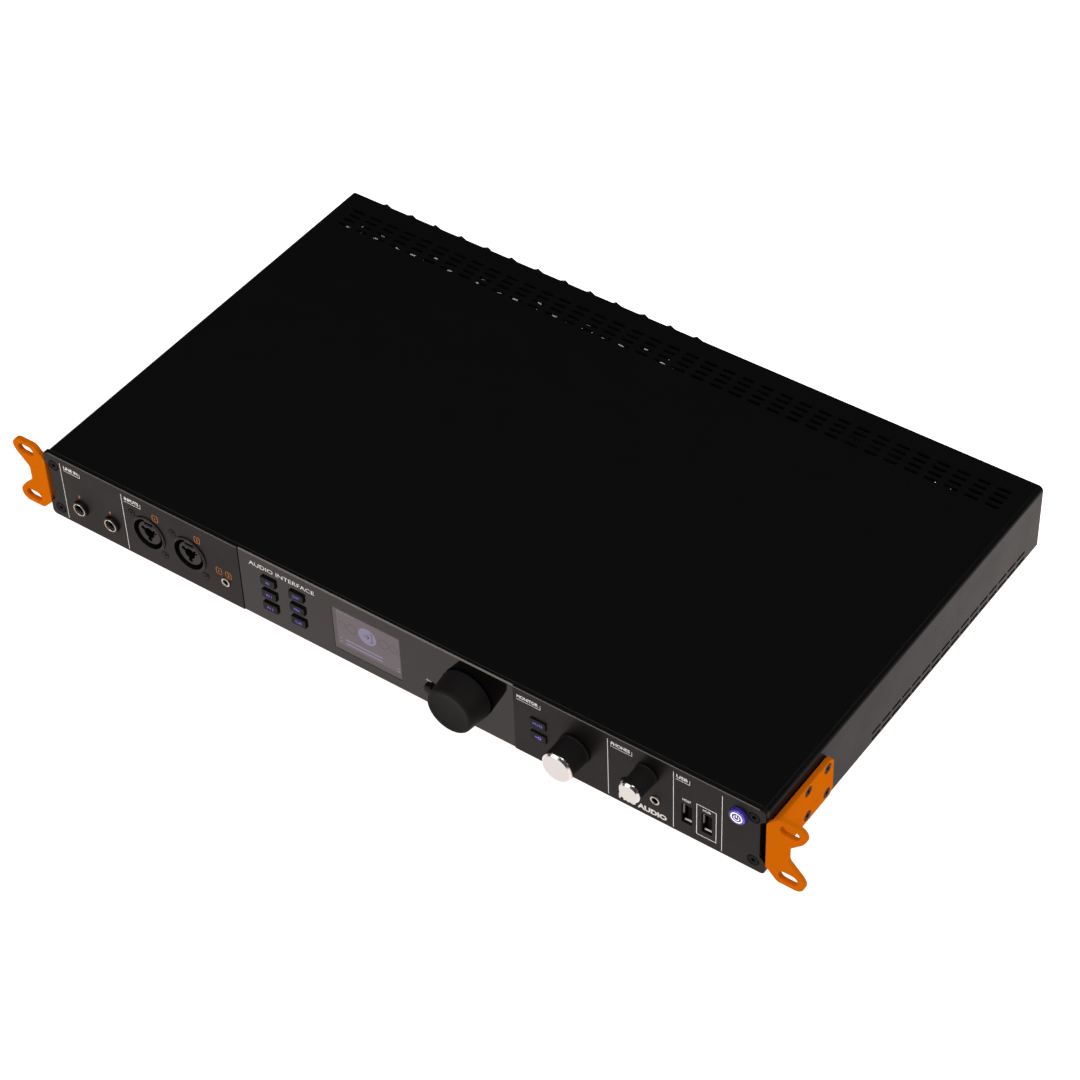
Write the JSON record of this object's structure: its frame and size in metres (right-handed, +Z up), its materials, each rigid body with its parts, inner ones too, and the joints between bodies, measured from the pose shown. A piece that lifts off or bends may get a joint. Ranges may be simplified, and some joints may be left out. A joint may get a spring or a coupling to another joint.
{
  "type": "rack audio interface",
  "caption": "One-unit rack audio interface with orange rack ears, combo inputs, function buttons, small display, push encoder, level knobs and rear jack banks.",
  "frame": {"origin": "bottom centre of the bounding box", "axes": "+X along the width, to the right seen from the front; -Y out of the front panel; +Z up"},
  "size_m": [0.4826, 0.2832, 0.0437],
  "materials": {
    "case_black": "satin black powder coat",
    "panel_black": "satin dark anodised plate",
    "fascia_grey": "semi-gloss dark grey plate",
    "ear_orange": "satin orange powder coat",
    "screw_black": "black oxide",
    "button_black": "matte, backlit legend",
    "knob_rubber": "soft matte black",
    "cap_metal": "satin face with bright bevel",
    "shaft_steel": "plain",
    "socket_black": "black moulded, plated metal rings",
    "socket_metal": "nickel plated",
    "power_lens": "violet lit button",
    "screen_glass": "clear lens",
    "screen_panel": "display panel",
    "board_green": "solder mask"
  },
  "bodies": {
    "case": {"bottom_tray": "case_black", "top_cover": "case_black", "rear_panel": "case_black", "front_panel": "panel_black", "display_fascia": "fascia_grey", "display_window": "screen_glass", "lcd_module": "screen_panel", "rack_ear_left": "ear_orange", "rack_ear_right": "ear_orange", "ear_screw_left_1": "screw_black", "ear_screw_left_2": "screw_black", "ear_screw_left_3": "screw_black", "ear_screw_left_4": "screw_black", "ear_screw_right_1": "screw_black", "ear_screw_right_2": "screw_black", "ear_screw_right_3": "screw_black", "ear_screw_right_4": "screw_black", "panel_screw_1": "screw_black", "panel_screw_2": "screw_black", "panel_screw_3": "screw_black", "panel_screw_4": "screw_black", "combo_socket_1": "socket_black", "combo_socket_2": "socket_black", "instrument_jack_3": "socket_black", "instrument_jack_4": "socket_black", "line_minijack": "socket_metal", "phones_jack_large": "socket_black", "phones_minijack": "socket_metal", "usb_socket_1": "socket_metal", "usb_socket_2": "socket_metal", "front_control_board": "board_green", "main_board": "board_green", "main_encoder_body": "socket_metal", "monitor_encoder_body": "socket_metal", "phones_encoder_body": "socket_metal", "input_jack_bank": "socket_black", "output_jack_bank": "socket_black", "word_clock_sockets": "socket_metal", "optical_sockets": "socket_black", "dc_inlet": "socket_black", "usb_c_socket": "socket_metal"},
    "main_plunger": {"main_push_plunger": "socket_black"},
    "main_control": {"main_encoder_shaft": "shaft_steel", "main_knob": "knob_rubber"},
    "monitor_control": {"monitor_encoder_shaft": "shaft_steel", "monitor_knob": "knob_rubber", "monitor_cap": "cap_metal"},
    "phones_control": {"phones_encoder_shaft": "shaft_steel", "phones_knob": "knob_rubber", "phones_cap": "cap_metal"},
    "function_button_1": {"function_button_1": "button_black"},
    "function_button_2": {"function_button_2": "button_black"},
    "function_button_3": {"function_button_3": "button_black"},
    "function_button_4": {"function_button_4": "button_black"},
    "function_button_5": {"function_button_5": "button_black"},
    "function_button_6": {"function_button_6": "button_black"},
    "monitor_button_1": {"monitor_button_1": "button_black"},
    "monitor_button_2": {"monitor_button_2": "button_black"},
    "back_button": {"back_button": "button_black"},
    "power_button": {"power_button": "power_lens"}
  },
  "joints": [
    {"name": "main_push", "type": "slide", "parent": "case", "child": "main_plunger", "axis": [0, 1, 0], "range_m": [0, 0.0005], "stiffness_N_per_m": 1200},
    {"name": "main_turn", "type": "hinge", "parent": "main_plunger", "child": "main_control", "pos_m": [0.0502, -0.1271, 0.02185], "axis": [0, -1, 0], "continuous": true},
    {"name": "monitor_turn", "type": "hinge", "parent": "case", "child": "monitor_control", "pos_m": [0.1135, -0.1271, 0.0215], "axis": [0, -1, 0], "continuous": true},
    {"name": "phones_turn", "type": "hinge", "parent": "case", "child": "phones_control", "pos_m": [0.1547, -0.1271, 0.0299], "axis": [0, -1, 0], "continuous": true},
    {"name": "function_button_1_press", "type": "slide", "parent": "case", "child": "function_button_1", "axis": [0, 1, 0], "range_m": [0, 0.0006], "stiffness_N_per_m": 800},
    {"name": "function_button_2_press", "type": "slide", "parent": "case", "child": "function_button_2", "axis": [0, 1, 0], "range_m": [0, 0.0006], "stiffness_N_per_m": 800},
    {"name": "function_button_3_press", "type": "slide", "parent": "case", "child": "function_button_3", "axis": [0, 1, 0], "range_m": [0, 0.0006], "stiffness_N_per_m": 800},
    {"name": "function_button_4_press", "type": "slide", "parent": "case", "child": "function_button_4", "axis": [0, 1, 0], "range_m": [0, 0.0006], "stiffness_N_per_m": 800},
    {"name": "function_button_5_press", "type": "slide", "parent": "case", "child": "function_button_5", "axis": [0, 1, 0], "range_m": [0, 0.0006], "stiffness_N_per_m": 800},
    {"name": "function_button_6_press", "type": "slide", "parent": "case", "child": "function_button_6", "axis": [0, 1, 0], "range_m": [0, 0.0006], "stiffness_N_per_m": 800},
    {"name": "monitor_button_1_press", "type": "slide", "parent": "case", "child": "monitor_button_1", "axis": [0, 1, 0], "range_m": [0, 0.0006], "stiffness_N_per_m": 800},
    {"name": "monitor_button_2_press", "type": "slide", "parent": "case", "child": "monitor_button_2", "axis": [0, 1, 0], "range_m": [0, 0.0006], "stiffness_N_per_m": 800},
    {"name": "back_button_press", "type": "slide", "parent": "case", "child": "back_button", "axis": [0, 1, 0], "range_m": [0, 0.0006], "stiffness_N_per_m": 800},
    {"name": "power_button_press", "type": "slide", "parent": "case", "child": "power_button", "axis": [0, 1, 0], "range_m": [0, 0.0006], "stiffness_N_per_m": 800}
  ]
}
